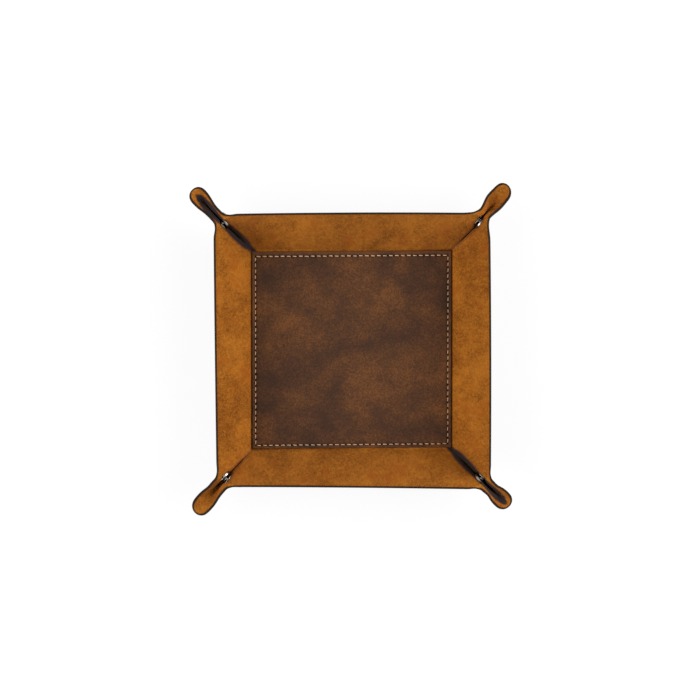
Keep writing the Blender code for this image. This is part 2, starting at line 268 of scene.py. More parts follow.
def odd(values, soft):
    """Nearly -1 on one side and 1 on the other, smooth and 0 in the middle."""
    return values / np.sqrt(values**2 + soft**2)


def ear_places(points):
    """Places near a corner in mm: along the ear, aside from its middle plane, and up."""
    local = (points - apex) / MM
    return local @ ear_axis, local @ ACROSS, local @ ear_up


def give(points, quarter, mirrored):
    """Push points near a corner, in the frame of its ear.

    Flare, pinch, shut and gape move the two sides apart or together, and a crimp closes the
    trough under its gaping top. The swing moves both sides the same way, more towards the
    tip. The spoon lifts what lies low, and the tip is drawn in.
    """
    habit = habits[corner_name(quarter, mirrored)]
    along, aside, height = ear_places(points)
    off = np.abs(aside)
    near = between(off, 13.5, 4.5)                      # all of the fold, nothing of the walls
    lips = neck_height - lip_fall * (along - neck_along)
    level = height / (0.38 * np.maximum(along, 4))      # 0 at the ear's axis, 1 at its lips
    shut_end = 61 - 9 * habit["spoon"]                  # a spoon opens sooner
    flare = habit["flare"] * ramp(along - habit["flare_from"], 4)
    flare *= (0.35 + 0.65 * between(height, -3, 6)) * between(along, ear_end, ear_end - 7)
    pinch = habit["pinch"] * np.exp(-((along - habit["pinch_at"]) / habit["pinch_wide"])**2)
    shut = (habit["shut"] * between(height, lips, lips - 5) * odd(aside, 1.1 * habit["shut"])
            * near * between(along, snap_end, snap_end + 4)
            * between(along, shut_end, shut_end - 8))
    gape = (habit["gape"] * between(along, -0.5, 4) * between(along, 34, 24)
            * between(off, 25.6, 9.6) * odd(aside, 0.9) * between(level, 0.35, 0.95))
    crimp = (0.08 * ramp(along - 13.7, 2) * between(along, 33, 28) * between(level, 0.05, 0.25)
             * between(level, 1, 0.55) * odd(aside, 0.3))
    neck = np.exp(-((along - neck_along) / 6)**2) * between(height, 3, 12) * near
    swing = habit["swing"] * ramp(along - 33, 4) * near + habit["lean"] * neck
    push = (flare - pinch) * (odd(aside, 2.5) * near) - shut + gape - crimp
    push += -swing if mirrored else swing
    draw = habit["drawn"] * between(along, 38, 63) * near
    lift = habit["spoon"] * between(along, snap_end, snap_end + 7) * near * ramp(3 - height, 3)
    moved = (times(push, ACROSS) - times(draw, ear_axis) + times(habit["collar"] * neck, OUT)
             + times(lift, UP))
    return points + moved * MM


def painted_fold_shade(points, quarter, mirrored):
    """Painted shade in the bottom of a fold, from 0 to 1.

    It is full within a half width of the middle plane, which narrows towards the snap, widens
    past the neck and runs out to a rounded end, and it fades over a band outside that.
    """
    habit = habits[corner_name(quarter, mirrored)]
    along, aside, height = ear_places(points)
    end = habit["fold_shade_end"]
    narrowing = between(along, 22, 40)
    half_width = (3.3 - 0.95 * narrowing + 1.4 * between(along, 46, 54)) * habit["fold_shade_wide"]
    half_width *= np.sqrt(between(along, end, end - 12)) * (0.6 + 0.4 * between(along, 1, 10))
    fade = (3.6 - 1.6 * narrowing) * habit["fold_shade_wide"]
    inside = ease((half_width - np.abs(aside)) / fade + 0.5) * between(height, 20, 14)
    return habit["grime"] * inside * between(along, end, end - 4)


# %% [markdown]
# The walls don't lean quite alike either. Each rim stands a little further in than the packed
# model's, in a shallow bow. The push grows with height, and fades towards the tips.

# %% Lean of the four walls
# mm at the rim: in the middle, how much more at the +X or +Y end, and how much more at both ends
lean_in = {"right": (0.55, 0.35, 0.4), "back": (0.65, -0.45, 0.5),
           "left": (0.65, -0.8, 0.1), "front": (1.4, -0.9, -0.3)}
rim_height = 42 * MM
rim_half = 78 * MM
corner_sum = 182 * MM           # |x| + |y| where the ears leave the rims
tip_sum = 212 * MM


def bowed(side, share):
    """A quadratic in the place along the wall, from -1 to 1."""
    middle, more, ends = lean_in[side]
    return (middle + more * share + ends * share**2) * MM


def settle(points):
    """Lean the walls in: a push that grows with height, by each side's own numbers."""
    x, y, z = np.moveaxis(points, -1, 0)
    lift = np.clip(z / rim_height, 0, 1)
    lift = lift * (1 - 0.7 * between(np.abs(x) + np.abs(y), corner_sum, tip_sum))
    at_x = np.clip(x / rim_half, -1, 1)
    at_y = np.clip(y / rim_half, -1, 1)
    sideways = np.where(x > 0, bowed("right", at_y), bowed("left", at_y))
    endways = np.where(y > 0, bowed("back", at_x), bowed("front", at_x))
    push = np.stack([sideways * np.sin(at_x * pi / 2), endways * np.sin(at_y * pi / 2),
                     np.zeros_like(x)], axis=-1)
    return points - push * lift[..., None]


def at_side(points, quarter, mirrored=False):
    """Bring points worked out for the right wall's back end to another side or end.

    They are mirrored in the XZ plane for the near end, then turned by quarters round Z.
    """
    flipped = points * np.array((1.0, -1.0, 1.0)) if mirrored else points
    angle = quarter * pi / 2
    turn = np.array(((cos(angle), -sin(angle), 0), (sin(angle), cos(angle), 0), (0, 0, 1)))
    return flipped @ turn.T


def ear_name(quarter, mirrored):
    """The body of the half ear at that end of a wall."""
    beyond = (quarter - 1) % 4 if mirrored else (quarter + 1) % 4
    return SIDES[quarter] + "_ear_at_" + SIDES[beyond]


print("corners:", ", ".join(corner_name(quarter) for quarter in range(4)))

# %% [markdown]
# Every piece is made the same way: points and faces worked out by numpy go into a mesh whose
# object stays at the origin. Values painted on the points, such as how dark the leather is
# there, become attributes that the materials read.

# %% Helper for pieces


def new_piece(name, points, faces, material, paint, sharp, weld=False):
    """An object at the origin, smooth except where faces meet at more than sharp degrees.

    Welding joins points that lie in one place, and turns all faces outwards.
    """
    mesh = bpy.data.meshes.new(name)
    mesh.from_pydata(points.tolist(), [], faces)
    mesh.materials.append(material)
    for key, values in paint.items():
        mesh.attributes.new(key, "FLOAT", "POINT").data.foreach_set(
            "value", values.ravel().astype(np.float32))
    if weld:
        bm = bmesh.new()
        bm.from_mesh(mesh)
        bmesh.ops.remove_doubles(bm, verts=bm.verts[:], dist=0.0001 * MM)
        bmesh.ops.recalc_face_normals(bm, faces=bm.faces[:])
        bm.to_mesh(mesh)
        bm.free()
    mesh.shade_smooth()
    mesh.set_sharp_from_angle(angle=radians(sharp))
    piece = bpy.data.objects.new(name, mesh)
    bpy.context.scene.collection.objects.link(piece)
    return piece


# %% [markdown]
# A sheet of leather is a closed skin: a front grid, a back grid, and a strip round the four
# edges. Faces that point inwards would render black and weigh less than nothing, so the
# helper measures the skin's volume and turns every face round if it comes out negative.

# %% Helper for closed sheets of leather


def edge_loop(index):
    """Indices round the four edges of a grid, in order."""
    return np.concatenate([index[0, :-1], index[:-1, -1], index[-1, :0:-1], index[:0:-1, 0]])


def grid_cells(index, wrap=False):
    """The faces of a grid, whose last column may join its first."""
    index = np.hstack([index, index[:, :1]]) if wrap else index
    cells = np.stack([index[:-1, :-1], index[:-1, 1:], index[1:, 1:], index[1:, :-1]], axis=-1)
    return cells.reshape(-1, 4)


other_way = [0, 3, 2, 1]        # a face's four corners, taken in the other direction


def closed_sheet(name, front, back, material, paint):
    """Join two grids of points into one closed skin; the paint has a pair of grids a key."""
    index = np.arange(front[..., 0].size).reshape(front.shape[:2])
    cells = grid_cells(index)
    loop = edge_loop(index)
    following = np.roll(loop, -1)
    sides = np.stack([following, loop, loop + index.size, following + index.size], axis=-1)
    points = np.concatenate([front.reshape(-1, 3), back.reshape(-1, 3)])
    faces = np.concatenate([cells, cells[:, ::-1] + index.size, sides])
    first, second, third, fourth = np.moveaxis(points[faces], 1, 0)
    volume = np.sum(first * (np.cross(second, third) + np.cross(third, fourth)))
    if volume < 0:
        faces = faces[:, ::-1]
    paint = {key: np.concatenate([pair[0].ravel(), pair[1].ravel()]) for key, pair in paint.items()}
    return new_piece(name, points, faces.tolist(), material, paint, sharp=40)


# %% [markdown]
# Shader maths reads best as plain arithmetic. A small class wraps a socket, so that adding or
# multiplying two of them adds the Math node, and one method adds any other node.

# %% Helper for materials


class Wire:
    """An output socket that can be used in sums."""

    def __init__(self, recipe, socket):
        self.recipe = recipe
        self.socket = socket

    def maths(self, operation, first, second):
        """A Math node on two values or sockets."""
        return self.recipe.node("ShaderNodeMath", {"operation": operation}, {0: first, 1: second})

    def __add__(self, other):
        return self.maths("ADD", self, other)

    def __sub__(self, other):
        return self.maths("SUBTRACT", self, other)

    def __rsub__(self, other):
        return self.maths("SUBTRACT", other, self)

    def __mul__(self, other):
        return self.maths("MULTIPLY", self, other)

    __radd__ = __add__
    __rmul__ = __mul__


class Recipe:
    """A material and its nodes."""

    def __init__(self, name, constants):
        self.material = bpy.data.materials.new(name)
        self.material.use_nodes = True
        self.tree = self.material.node_tree
        self.shader = self.tree.nodes["Principled BSDF"]
        for key, value in constants.items():
            self.shader.inputs[key].default_value = value
        self.place = self.node("ShaderNodeTexCoord", output="Object")

    def feed(self, socket, value):
        """Link a socket, or set it to a plain value."""
        if isinstance(value, Wire):
            self.tree.links.new(value.socket, socket)
        else:
            socket.default_value = value

    def node(self, kind, settings=None, inputs=None, output=0):
        """Add a node: its settings first, then the values or links of its sockets."""
        made = self.tree.nodes.new(kind)
        for key, value in (settings or {}).items():
            setattr(made, key, value)
        for key, value in (inputs or {}).items():
            self.feed(made.inputs[key], value)
        return Wire(self, made.outputs[output])

    def noise(self, size, detail=2.0, rough=0.5, twist=0.0, place=None):
        """Cloudy noise whose blotches are about the given size in metres."""
        return self.node("ShaderNodeTexNoise", None,
                         {"Vector": place or self.place, "Scale": 1 / size, "Detail": detail,
                          "Roughness": rough, "Distortion": twist})

    def step(self, value, start, end):
        """From 0 at start to 1 at end, smoothly."""
        return self.node("ShaderNodeMapRange", {"interpolation_type": "SMOOTHSTEP"},
                         {"Value": value, "From Min": start, "From Max": end})

    def blend(self, factor, first, second):
        """A colour between two colours."""
        return self.node("ShaderNodeMix", {"data_type": "RGBA"},
                         {0: factor, 6: first, 7: second}, output=2)

    def stretched(self, factors):
        """Object coordinates, each direction multiplied by its own factor."""
        return self.node("ShaderNodeVectorMath", {"operation": "MULTIPLY"},
                         {0: self.place, 1: factors})

    def attribute(self, name):
        """A value painted on the points."""
        return self.node("ShaderNodeAttribute", {"attribute_name": name}, output="Fac")

    def bump(self, height, depth, below=None):
        """Turn a height from 0 to 1 into a relief of the given depth in metres."""
        inputs = {"Height": height, "Distance": depth, "Strength": 1.0}
        if below:
            inputs["Normal"] = below
        return self.node("ShaderNodeBump", None, inputs)

    def finish(self, colour, roughness, normal):
        """Feed the three sockets that vary, and hand over the material."""
        self.feed(self.shader.inputs["Base Color"], colour)
        self.feed(self.shader.inputs["Roughness"], roughness)
        self.feed(self.shader.inputs["Normal"], normal)
        return self.material


# %% [markdown]
# The suede is a rusty tan nap, rubbed lighter and darker in patches. Four sizes of noise
# carry it: broad shading, hand-sized rubs, the fibres and their fluff. The attribute called
# dark is painted by the mesh code: ink on the cut edges and the pressed line, and a faint
# painted shade along the creases. A second painted attribute is painted shade, near black,
# in the bottom of each fold.

# %% Tan suede


def tan_suede():
    """The noises added up, between two tans; then rust over them, painted shade in the folds, and the
    ink, which also carries a faint painted shade along the creases.
    """
    recipe = Recipe("tan_suede", {"Sheen Weight": 0.1, "Sheen Roughness": 0.5,
                                  "Sheen Tint": (1.0, 0.55, 0.22, 1.0),
                                  "Specular IOR Level": 0.04})
    brushed = recipe.stretched((1.0, 1.0, 0.35))
    broad = recipe.noise(30 * MM, 2.0, 0.5, place=brushed)
    rubs = recipe.noise(9 * MM, 3.0, 0.6, place=brushed)
    fibres = recipe.noise(1.8 * MM, 3.0, 0.65, place=brushed)
    fluff = recipe.noise(0.7 * MM, 2.0, 0.6, place=brushed)
    tone = broad * 0.7 + rubs * 0.8 + fibres * 0.9 + fluff * 1.1
    light = recipe.step(tone, 1.18, 2.33)
    colour = recipe.blend(light, (0.14, 0.039, 0.0045, 1), (0.44, 0.155, 0.017, 1))
    rust = recipe.step(recipe.noise(15 * MM, 3.0, 0.6, place=brushed), 0.5, 0.72)
    colour = recipe.blend(rust * 0.6, colour, (0.26, 0.062, 0.007, 1))
    # painted shade: near black in the bottom of each fold, broken up by the rubs
    grime = recipe.step(recipe.attribute("grime") + (rubs - 0.5) * 0.3, 0.08, 0.9)
    colour = recipe.blend(grime, colour, (0.026, 0.019, 0.021, 1))
    # ink on the cut edges and the pressed line, together with a faint painted shade along the creases
    dark = recipe.attribute("dark")
    colour = recipe.blend(recipe.step(dark + (rubs - 0.5) * 0.25, 0.08, 1.0), colour,
                          (0.012, 0.006, 0.004, 1))
    relief = fibres * 0.6 + fluff * 0.4
    normal = recipe.bump(relief, 0.3 * MM, recipe.bump(rubs, 0.5 * MM))
    return recipe.finish(colour, recipe.step(light, -0.6, 1.6) * 0.15 + 0.82, normal)


suede = tan_suede()

# %% [markdown]
# The backing is a thin dark leather, smooth, with a fine pebble and a little shine. It is
# what shows at the rim as a dark line all round.

# %% Dark backing leather


def pebbles(recipe, size):
    """The rounded cells of leather grain, high in the middle of each."""
    noise = recipe.node("ShaderNodeTexNoise", None,
                        {"Vector": recipe.place, "Scale": 1 / (2 * size)}, output="Color")
    shift = recipe.node("ShaderNodeVectorMath", {"operation": "SCALE"},
                        {0: noise, "Scale": size * 0.8})
    warped = recipe.node("ShaderNodeVectorMath", {"operation": "ADD"}, {0: recipe.place, 1: shift})
    cells = recipe.node("ShaderNodeTexVoronoi", {"feature": "SMOOTH_F1"},
                        {"Vector": warped, "Scale": 1 / size, "Smoothness": 0.6},
                        output="Distance")
    return 1.0 - cells


def dark_leather():
    """Two browns mixed by wear, with lighter pebbles, and ink at the cut edges."""
    recipe = Recipe("dark_backing_leather", {"Specular IOR Level": 0.2})
    grain = pebbles(recipe, 0.9 * MM)
    wear = recipe.noise(21 * MM, 4.0, 0.6, 0.4)
    colour = recipe.blend(recipe.step(wear, 0.35, 0.75), (0.018, 0.0095, 0.0065, 1),
                          (0.042, 0.021, 0.0125, 1))
    colour = recipe.blend(recipe.step(grain, 0.35, 0.75) * 0.35, colour, (0.055, 0.03, 0.019, 1))
    ink = recipe.step(recipe.attribute("dark"), 0.1, 0.9)
    colour = recipe.blend(ink, colour, (0.008, 0.0045, 0.0035, 1))
    normal = recipe.bump(grain, 0.12 * MM, recipe.bump(wear, 0.3 * MM))
    return recipe.finish(colour, recipe.step(wear, 0.2, 0.9) * 0.16 + 0.5 + ink * 0.15, normal)


backing = dark_leather()

# %% [markdown]
# The patch is oiled leather: near-black brown where it was pulled and rust-brown clouds where
# the oil was pushed out of it. The needle holes get painted shade, near black, and the pressed
# channel is painted faintly darker.

# %% Mottled patch leather


def oiled_leather():
    """Clouds and wisps of rust on near-black brown, blotched, specked and worn at the edge, with
    painted shade in the needle holes.
    """
    recipe = Recipe("oiled_patch_leather", {"Specular IOR Level": 0.06})
    pulled = recipe.stretched((0.8, 1.1, 1.0))
    clouds = recipe.noise(38 * MM, 2.0, 0.5, 0.1, place=pulled)
    wisps = recipe.noise(13 * MM, 4.0, 0.58, place=pulled)
    grain = pebbles(recipe, 0.9 * MM)
    pores = recipe.noise(1.5 * MM, 4.0, 0.8)
    cloud = recipe.step(clouds * 0.75 + wisps * 0.6 + pores * 0.3, 0.6, 1.1)
    colour = recipe.blend(cloud, (0.048, 0.0235, 0.0145, 1), (0.15, 0.058, 0.019, 1))
    blotch = recipe.step(recipe.noise(17 * MM, 4.0, 0.65), 0.5, 0.7)
    colour = recipe.blend(blotch * 0.45, colour, (0.038, 0.021, 0.0145, 1))
    speck = recipe.step(grain * 0.35 + pores * 0.65, 0.4, 0.62)
    colour = recipe.blend((1.0 - speck) * 0.5, colour, (0.028, 0.0145, 0.009, 1))
    worn = recipe.step(recipe.attribute("worn") + (wisps - 0.5) * 1.2, 0.2, 1.1)
    colour = recipe.blend(worn * 0.4, colour, (0.17, 0.072, 0.024, 1))
    # painted shade in the needle holes, near black, and the pressed channel faintly darker
    colour = recipe.blend(recipe.step(recipe.attribute("dark"), 0.0, 1.0), colour,
                          (0.008, 0.004, 0.003, 1))
    normal = recipe.bump(grain * 0.6 + pores * 0.4, 0.16 * MM, recipe.bump(wisps, 0.35 * MM))
    return recipe.finish(colour, 0.62 - cloud * 0.1 + speck * 0.06, normal)


patch_leather = oiled_leather()

# %% [markdown]
# Cream sewing thread is two plies twisted together. Its pattern follows the thread, so it
# reads the stitches' own map: one direction runs along a stitch, the other round it.

# %% Thread and nickel


def cream_thread():
    """Slanting bands for the two plies, roughened by fuzz."""
    recipe = Recipe("cream_thread", {"Sheen Weight": 0.15, "Specular IOR Level": 0.2})
    own_map = recipe.node("ShaderNodeUVMap", {"uv_map": "UVMap"})
    plies = recipe.node("ShaderNodeTexWave", {"bands_direction": "DIAGONAL"},
                        {"Vector": own_map, "Scale": 1.1, "Distortion": 0.6})
    fuzz = recipe.noise(0.4 * MM, 2.0, 0.6)
    tone = plies * 0.65 + fuzz * 0.5
    colour = recipe.blend(recipe.step(tone, 0.15, 0.8), (0.44, 0.28, 0.155, 1),
                          (0.74, 0.53, 0.335, 1))
    return recipe.finish(colour, 0.85 - fuzz * 0.1, recipe.bump(tone, 0.12 * MM))


def bright_nickel():
    """Metal under a thin uneven film, with fine scratches, darkened by painted shade where a snap
    lies deep in a fold.
    """
    recipe = Recipe("bright_nickel", {"Metallic": 1.0})
    film = recipe.noise(2.4 * MM, 3.0, 0.6)
    scratches = recipe.noise(0.5 * MM, 3.0, 0.7, 1.5)
    colour = recipe.blend(recipe.step(film, 0.35, 0.75), (0.45, 0.425, 0.385, 1),
                          (0.22, 0.2, 0.175, 1))
    # painted shade: the parts deep in a fold are darkened, and made a little rougher
    grime = recipe.attribute("grime")
    colour = recipe.blend(grime * 0.45, colour, (0.06, 0.05, 0.05, 1))
    return recipe.finish(colour, film * 0.16 + grime * 0.15 + 0.12,
                         recipe.bump(scratches, 0.01 * MM))


thread_cotton = cream_thread()
nickel = bright_nickel()
print("materials:", suede.name, backing.name, patch_leather.name, thread_cotton.name, nickel.name)

# %% [markdown]
# A line is pressed into the lining 2 mm inside the rim, and the cut edge is rounded and inked
# by the burnishing tool. Rows of points crowd there to carry those small shapes. The lining
# and the backing are made alike, from one middle surface at different depths.

# %% Rows of a sheet near its rim
crease_soft = 1.3 * MM          # half the soft part of a crease
border = 3.0 * MM               # of the base that goes with the wall's piece
pressed_in = 2.1 * MM           # from the rim to the pressed line
pressed_width = 0.3 * MM
pressed_depth = 0.16 * MM
rim_round = 0.28 * MM
rim_band = 3.2 * MM
rim_rows = rim_band * np.array((1.0, 0.86, 0.79, 0.72, 0.655, 0.59, 0.52, 0.38, 0.2, 0.088,
                                0.05, 0.02, 0.0))
first_ray = 0.4 * MM            # a fold's pieces begin this far from the corner


def on_lining(level):
    """Whether a face of the sheet is the lining's own upper face."""
    return level > half_thick * 0.9


def layer_depth(level, from_rim, outer):
    """Depth of a face of the sheet: rounded off at the rim, and pressed on the lining."""
    rounding = np.clip(1 - from_rim / rim_round, 0, 1)
    drop = rim_round * (1 - np.sqrt(1 - rounding**2)) * outer
    press = pressed_depth * np.exp(-((from_rim - pressed_in) / pressed_width)**2)
    return level - np.sign(level) * drop - press * on_lining(level)


def rim_dark(from_rim, level):
    """Burnish: the cut edge is inked black, and the ink thins out over the lining's corner."""
    pressed = 0.3 * np.exp(-((from_rim - pressed_in) / (0.4 * MM))**2) * on_lining(level)
    inked = np.exp(-(from_rim / (0.3 * MM))**2) * (0.8 if on_lining(level) else 1.0)
    return np.maximum(pressed, inked)


layers = {"suede": (suede, half_thick, glue_level, "lining", "suede"),
          "backing": (backing, glue_level, -half_thick, "cover", "back_leather")}


def offset_levels(layer):
    """Each face's depth in the sheet, and whether it is an outer face, which is rounded."""
    _, upper, lower, _, _ = layers[layer]
    return (upper, upper == half_thick), (lower, lower == -half_thick)


print("rim rows:", len(rim_rows))

# %% [markdown]
# Each wall is one sheet from 3 mm inside the crease up to the rim. Across the crease it
# follows the soft ramp, and its two ends stop at the ray where the ear's bend begins.

# %% Walls
crease_way = unit(np.array((1.0, 0.0, 0.0)) + wall_up)
wall_columns = 121
end_crowding = radians(75)      # columns go by the sine, up to this angle, to crowd at the ends


def wall_layer(quarter, layer):
    """One layer of a wall.

    Height up the sheet runs over the rows, and the place along the crease runs over the
    columns from end to end. A row's half length is the crease's, opened by the seam's angle.
    """
    inner = np.concatenate([-border + np.array((0.0, 0.45, 0.8)) * (border - crease_soft),
                            np.linspace(-crease_soft, crease_soft, 9),
                            np.linspace(2.2 * MM, wall_width - rim_band, 30)[:-1]])
    height = np.concatenate([inner, wall_width - rim_rows])[:, None]
    share = np.sin(np.linspace(-1, 1, wall_columns) * end_crowding) / sin(end_crowding)
    opening = tan(bend_angle - seam_angle - pi / 2)
    half_length = base_side / 2 + np.where(height < 0, height, height * opening)
    along = share * half_length
    folded = ramp(height, crease_soft)
    step = 1e-6
    slope = (ramp(height + step, crease_soft) - ramp(height - step, crease_soft)) / (2 * step)
    east = base_side / 2 + height - folded + folded * wall_up[0]
    level_up = half_thick + folded * wall_up[2]
    run = unit(np.concatenate([1 - slope + slope * wall_up[0], slope * wall_up[2]], axis=1))
    from_rim = wall_width - height
    grids = []
    paint = {"dark": [], "grime": []}
    for level, outer in offset_levels(layer):
        depth = layer_depth(level, from_rim, outer)
        x = east - run[:, 1:] * depth
        z = level_up + run[:, :1] * depth
        grid = np.stack(np.broadcast_arrays(x, along, z), axis=-1)
        ends = []
        fold_shades = []
        for mirrored in (False, True):
            flip = np.array((1, -1 if mirrored else 1, 1))
            given = give(grid * flip, quarter, mirrored)
            ends.append(given * flip)
            # painted shade in the bottom of the fold, near the wall's two ends
            fold_shades.append(painted_fold_shade(given, quarter, mirrored))
        at_far = grid[..., 1] > 0
        grid = np.where(at_far[..., None], *ends)
        # a faint painted shade along the crease at the wall's foot, together with the rim's ink
        crease = 0.14 * np.exp(-((height - 0.4 * MM) / crease_soft)**2)
        dark = np.maximum(crease, rim_dark(from_rim, level)) * np.ones_like(along)
        grids.append(settle(at_side(grid, quarter)))
        paint["dark"].append(dark)
        paint["grime"].append(np.where(at_far, *fold_shades))
    material, _, _, part, slot = layers[layer]
    name = SIDES[quarter] + "_wall"
    piece = closed_sheet(name + "_" + layer, *grids, material, paint)
    fold = np.array((base_side / 2, 0, half_thick))
    start, end = fold - crease_way * crease_soft, fold + crease_way * crease_soft
    at_side(start, quarter)
    at_side(end, quarter)
    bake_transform(piece)
    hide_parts(name + "_" + part)
    return piece


walls = [wall_layer(quarter, layer) for quarter in range(4) for layer in layers]
print("walls:", len(walls), "sheets of", len(walls[0].data.polygons), "faces")

# %% [markdown]
# Each end of a wall folds out into half an ear. Two pieces make it: the bend itself, and the
# flank with the hook at the bottom of the fold, which rides on the ear's body. Laid flat, the
# leather keeps the curl that the snap has set in it.

# %% Bends and ears
bend_band = 1.0 * MM            # a bend turns this far to each side of its line
inner_rows = 26
least_slant = radians(4)        # keeps the rim's rows even across the blank's corner


def cone_grids(quarter, mirrored, layer, angles):
    """Two faces of a folded sheet: rays over the columns, distance from the corner down rows.

    A point is the corner, plus its distance along its ray, plus the face's depth along the
    normal. What would cross the ear's middle plane is held at that plane.
    """
    rays = sheet_rays(angles)
    normals = sheet_normals(angles)
    reach, to_diagonal = blank_reach(angles)
    slant = np.cos(pi / 4 - np.maximum(to_diagonal, least_slant))
    inner = np.linspace(0, 1, inner_rows)[:, None]
    distance = first_ray + (reach - rim_band / slant - first_ray) * inner
    distance = np.concatenate([distance[:-1], reach - rim_rows[:, None] / slant])
    from_rim = (reach - distance) * slant
    grids = []
    paint = {"dark": [], "grime": []}
    for level, outer in offset_levels(layer):
        depth = layer_depth(level, from_rim, outer)
        grid = apex + distance[..., None] * rays + depth[..., None] * normals
        held = np.maximum(-((grid - apex) @ ACROSS), 0)
        grid = give(grid + times(held, ACROSS), quarter, mirrored)
        grids.append(settle(at_side(grid, quarter, mirrored)))
        paint["dark"].append(rim_dark(from_rim, level))
        # painted shade in the bottom of the fold
        paint["grime"].append(painted_fold_shade(grid, quarter, mirrored))
    return grids, paint


def bend_layer(quarter, mirrored, layer):
    """The soft bend between a wall and an ear."""
    material, _, _, _, slot = layers[layer]
    angles = np.linspace(bend_angle - seam_angle, bend_angle + seam_angle, 23)
    grids, paint = cone_grids(quarter, mirrored, layer, angles)
    ear = ear_name(quarter, mirrored)
    piece = closed_sheet(ear + "_bend_" + layer, *grids, material, paint)
    way = unit(up_wall + down_flank)
    middle = apex + bend * snap_reach
    start, end = (at_side(middle + way * side * bend_band, quarter, mirrored) for side in (-1, 1))
    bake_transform(piece)
    return piece


def ear_layer(quarter, mirrored, layer):
    """The flank of an ear, and the hook down to the middle of the fold."""
    material, _, _, part, slot = layers[layer]
    flank = np.linspace(bend_angle + seam_angle, hook_from, 13)
    hook = np.linspace(hook_from, fold_angle, 13)[1:]
    grids, paint = cone_grids(quarter, mirrored, layer, np.concatenate([flank, hook]))
    ear = ear_name(quarter, mirrored)
    piece = closed_sheet(ear + "_" + layer, *grids, material, paint)
    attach(piece, ear)
    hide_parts(ear + "_" + part)
    return piece


ears = []
for quarter in range(4):
    for mirrored in (False, True):
        for layer in layers:
            ears.append(bend_layer(quarter, mirrored, layer))
            ears.append(ear_layer(quarter, mirrored, layer))
print("ears and bends:", len(ears), "sheets")

# %% [markdown]
# The flat middle of the tray is two square sheets, which end where the walls' pieces begin.

# %% Base


def base_layer(layer):
    """A square layer of the base: two level grids at the layer's two depths."""
    material, upper, lower, part, slot = layers[layer]
    half = base_side / 2 - border
    line = np.linspace(-half, half, 60)
    x, y = np.meshgrid(line, line, indexing="ij")
    grids = [np.stack([x, y, np.full_like(x, half_thick + level)], axis=-1)
             for level in (upper, lower)]
    piece = closed_sheet("base_" + layer, *grids, material, {})
    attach(piece, "base")
    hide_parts("base_" + part)
    return piece


base_sheets = [base_layer(layer) for layer in layers]
print("base:", [piece.name for piece in base_sheets])

# %% [markdown]
# The patch is a plate of leather with a soft edge. A saddler presses a channel round it and
# pricks the needle holes along it. Its top is one height map: the pressed channel, a pit at
# each hole, a rounded edge and a gentle unevenness, all added up.

# %% Patch
patch_margin = 0.75 * MM        # from a crease to the patch's edge
patch_half = base_side / 2 - patch_margin
cut_short = 0.988               # the patch was cut a little short from front to back
cut_askew = 0.0075              # and its sides run up a little to the right
patch_foot = 2.0 * MM
patch_top = 3.5 * MM
edge_round = 0.8 * MM
channel_depth = 0.4 * MM
channel_width = 0.75 * MM
hole_depth = 0.85 * MM          # below the channel's floor
hole_across = 0.46 * MM         # across the row of stitches, and a little more along it
hole_along = 0.58 * MM
uneven = 0.06 * MM
stitch_inset = 2.55 * MM
back_inset = 1.0 * MM
stitch_pitch = 4.1 * MM
stitch_line = patch_half - stitch_inset
stitch_count = round(2 * stitch_line / stitch_pitch)
pitch = 2 * stitch_line / stitch_count


def as_cut(points):
    """Bring points of a true square to the patch as it was cut and sewn.

    The row of stitches at the back runs a millimetre further in than the others.
    """
    further_in = np.interp(points[..., 1], (0, stitch_line, patch_half), (0, back_inset, 0))
    moved = points - times(further_in, ALONG)
    return moved @ np.array(((1, cut_askew, 0), (0, cut_short, 0), (0, 0, 1)))


def patch_lines():
    """Grid lines, crowded round every needle hole and at the rounded edge."""
    holes = -stitch_line + pitch * np.arange(stitch_count + 1)
    near = np.array((-0.27, -0.15, -0.075, 0.0, 0.075, 0.15, 0.27, 0.5)) * pitch
    inner = (holes[:, None] + near).ravel()
    outer = patch_half - np.array((0.0, 0.03, 0.09, 0.18, 0.3, 0.5, 0.9)) * MM
    lines = np.concatenate([inner, outer, -outer])
    lines = np.unique(np.round(lines, 7))
    return lines[np.abs(lines) <= patch_half]


def patch_surface(x, y):
    """Height of the patch's top, how dark it is, and how worn."""
    reach = np.maximum(np.abs(x), np.abs(y))
    beside = np.minimum(np.abs(x), np.abs(y))
    from_line = reach - stitch_line
    channel = np.exp(-(from_line / channel_width)**2)
    to_hole = (beside + stitch_line + pitch / 2) % pitch - pitch / 2
    hole = np.exp(-((from_line / hole_across)**2 + (to_hole / hole_along)**2))
    hole = np.where(beside < stitch_line + 0.5 * pitch, hole, 0)
    to_edge = np.minimum(patch_half - np.abs(x), patch_half - np.abs(y))
    edge = np.clip(1 - to_edge / edge_round, 0, 1)
    wave = np.sin(x * 151 + 0.7 + 2 * np.sin(y * 61)) * np.sin(y * 137 + 1.9 + np.sin(x * 83))
    height = (patch_top - channel_depth * channel - hole_depth * hole
              - edge_round * (1 - np.sqrt(1 - edge**2)) + uneven * wave)
    # painted shade in the needle holes, near black, and the pressed channel faintly darker
    dark = np.clip(0.05 * channel + 0.95 * hole, 0, 1)
    worn = np.exp(-(to_edge / (1.7 * MM))**2) * (0.75 + 0.25 * np.tanh(y / (40 * MM)))
    return height, dark, worn


